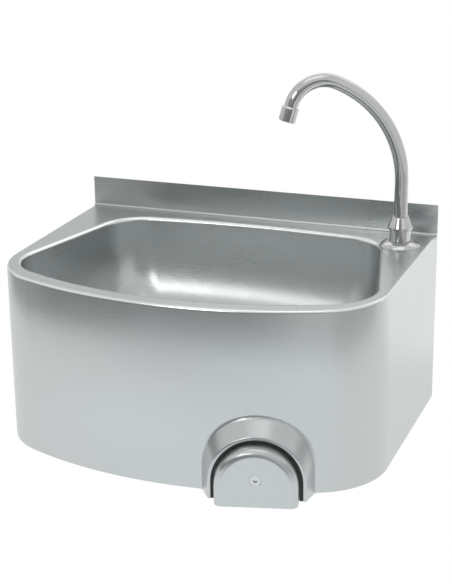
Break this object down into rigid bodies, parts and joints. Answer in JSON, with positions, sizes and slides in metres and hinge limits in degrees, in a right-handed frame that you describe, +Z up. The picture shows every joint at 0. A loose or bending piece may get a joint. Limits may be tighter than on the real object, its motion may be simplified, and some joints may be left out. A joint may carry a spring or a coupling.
{
  "type": "wall-hung hand wash sink",
  "caption": "Wall-hung D-shaped stainless steel hand wash sink with a deep apron, a swivelling gooseneck spout and a knee pad that opens the water.",
  "frame": {"origin": "on the wall plane, at the middle of the four wall fixing holes; the top of the deck is 117.5 mm above it", "axes": "+Z up, +Y into the wall, +X to the right of a user who faces the sink; the sink's front faces -Y"},
  "size_m": [0.5, 0.4078, 0.4624],
  "materials": {
    "stainless_satin": "satin brushed stainless steel",
    "stainless_plate": "cold rolled stainless steel plate",
    "stainless_bright": "turned and polished stainless steel",
    "chrome": "polished chrome plate on brass",
    "brass": "machined brass",
    "nickel_brass": "nickel plated brass",
    "crimped_steel": "crimped stainless sleeve",
    "braided_steel": "braided stainless sheath over rubber hose",
    "spring_steel": "stainless spring wire",
    "black_rubber": "moulded black rubber",
    "grey_plastic": "moulded white polypropylene",
    "white_plastic": "moulded acetal",
    "black_plastic": "moulded black plastic"
  },
  "bodies": {
    "basin": {"bowl_and_deck": "stainless_satin", "apron_panel": "stainless_satin", "knee_recess_collar": "stainless_satin", "back_rail": "stainless_plate", "valve_bracket": "stainless_plate", "waste_strainer": "stainless_bright", "waste_centre_screw": "stainless_bright", "mixer_screws": "stainless_bright", "shank_washer": "stainless_bright", "tap_cover_plate": "chrome", "tap_body": "chrome", "spout_nut": "chrome", "valve_body": "brass", "valve_gland": "brass", "mixer_bonnet": "brass", "valve_locknut": "nickel_brass", "mixer_body": "nickel_brass", "hot_inlet_connector": "nickel_brass", "cold_inlet_connector": "nickel_brass", "tap_backnut": "nickel_brass", "feed_hose_nuts": "nickel_brass", "spout_hose_nuts": "nickel_brass", "feed_hose_ferrules": "crimped_steel", "spout_hose_ferrules": "crimped_steel", "feed_hose": "braided_steel", "spout_hose": "braided_steel", "return_spring": "spring_steel", "recess_seal": "black_rubber", "waste_upper_seal": "black_rubber", "waste_lower_seal": "black_rubber", "feed_hose_washers": "black_rubber", "spout_hose_washers": "black_rubber", "tap_deck_seal": "black_rubber", "spout_seals": "black_rubber", "shank_seal": "black_rubber", "waste_body": "grey_plastic", "guide_bushes": "white_plastic"},
    "spout": {"spout_tube": "chrome", "spout_swivel_ring": "brass", "aerator_housing": "chrome", "aerator_seal": "black_rubber", "aerator_insert": "white_plastic"},
    "knee_pad_assembly": {"knee_pad": "stainless_satin", "pad_carrier": "stainless_plate", "pad_screw": "stainless_bright", "push_rod": "stainless_bright", "valve_piston": "brass", "piston_seals": "black_rubber", "guide_pins": "stainless_bright"},
    "temperature_control": {"temperature_knob": "black_plastic", "mixer_spindle": "brass", "knob_screw": "stainless_bright"}
  },
  "joints": [
    {"name": "spout_swivel", "type": "hinge", "parent": "basin", "child": "spout", "pos_m": [0.214, -0.06, 0.1465], "axis": [0, 0, 1], "range_deg": [-30, 150]},
    {"name": "knee_press", "type": "slide", "parent": "basin", "child": "knee_pad_assembly", "axis": [-0.2453, 0.9694, 0], "range_m": [0, 0.012], "stiffness_N_per_m": 2500, "springref_m": -0.008, "deforming": ["return_spring"]},
    {"name": "temperature_turn", "type": "hinge", "parent": "basin", "child": "temperature_control", "pos_m": [0.108, -0.04, -0.0905], "axis": [0, 0, -1], "range_deg": [-60, 60]}
  ]
}
